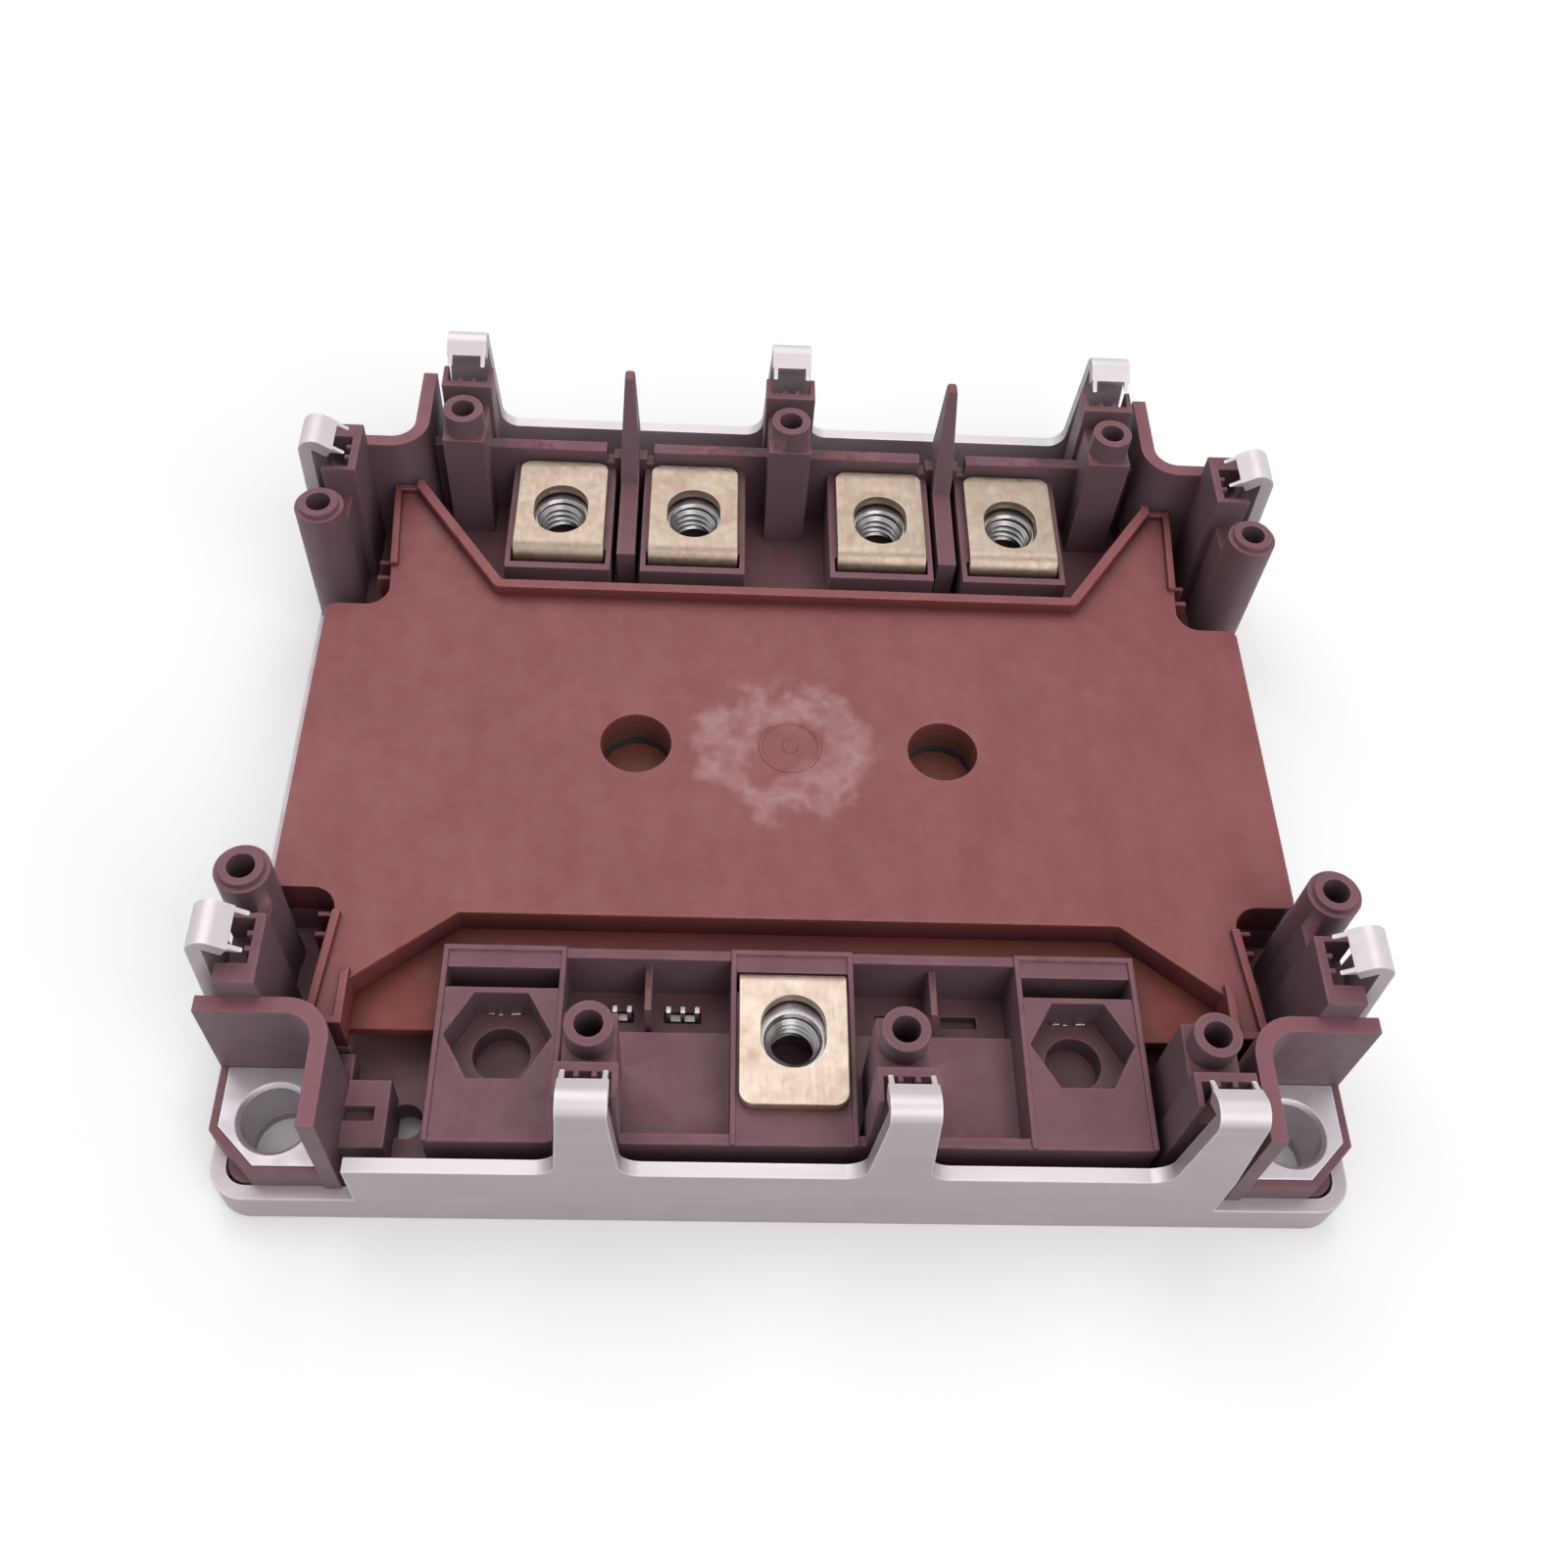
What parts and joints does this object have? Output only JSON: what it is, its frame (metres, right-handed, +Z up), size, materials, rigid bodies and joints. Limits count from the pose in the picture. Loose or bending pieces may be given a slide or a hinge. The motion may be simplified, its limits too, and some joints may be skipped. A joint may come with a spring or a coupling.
{
  "type": "power semiconductor module",
  "caption": "Moulded power module in a folded sheet tray with hooked legs, slotted brass screw terminals, screw domes for a driver board and a skirted cover.",
  "frame": {"origin": "middle of the tray's underside", "axes": "+X to the right along the long side as in the picture, +Y to the rear, +Z up from the heatsink face"},
  "size_m": [0.1256, 0.112, 0.0298],
  "materials": {
    "tray_steel": "plated sheet, satin, with bright cut edges",
    "housing_plastic": "moulded, red-brown, fine grain",
    "cover_plastic": "moulded, red-brown, fine grain, paler stress marks round the gate",
    "terminal_brass": "stamped, satin, slightly tarnished",
    "nut_steel": "plated",
    "lug_steel": "plated, satin",
    "plate_steel": "plain sheet",
    "bridge_plastic": "moulded",
    "foam": "closed-cell silicone foam",
    "copper_sheet": "bonded copper, plain",
    "substrate_ceramic": "sintered alumina",
    "chip_silicon": "metallised silicon",
    "sensor_body": "glazed",
    "contact_metal": "tin plated spring strip"
  },
  "bodies": {
    "root": {"base_tray": "tray_steel", "housing": "housing_plastic", "cover_plate": "cover_plastic", "terminal_front": "terminal_brass", "terminal_rear_far_left": "terminal_brass", "terminal_rear_mid_left": "terminal_brass", "terminal_rear_mid_right": "terminal_brass", "terminal_rear_far_right": "terminal_brass", "terminal_nuts": "nut_steel", "lug_plate_front_left": "lug_steel", "lug_plate_front_right": "lug_steel", "lug_plate_rear_left": "lug_steel", "lug_plate_rear_right": "lug_steel", "pressure_bridge": "bridge_plastic", "foam_pad": "foam", "pressure_plate": "plate_steel", "temperature_sensor": "sensor_body", "driver_contacts": "contact_metal", "copper_base_left": "copper_sheet", "copper_lands_left": "copper_sheet", "ceramic_left": "substrate_ceramic", "igbt_chips_left": "chip_silicon", "diode_chips_left": "chip_silicon", "copper_base_center": "copper_sheet", "copper_lands_center": "copper_sheet", "ceramic_center": "substrate_ceramic", "igbt_chips_center": "chip_silicon", "diode_chips_center": "chip_silicon", "copper_base_right": "copper_sheet", "copper_lands_right": "copper_sheet", "ceramic_right": "substrate_ceramic", "igbt_chips_right": "chip_silicon", "diode_chips_right": "chip_silicon"}
  },
  "joints": []
}
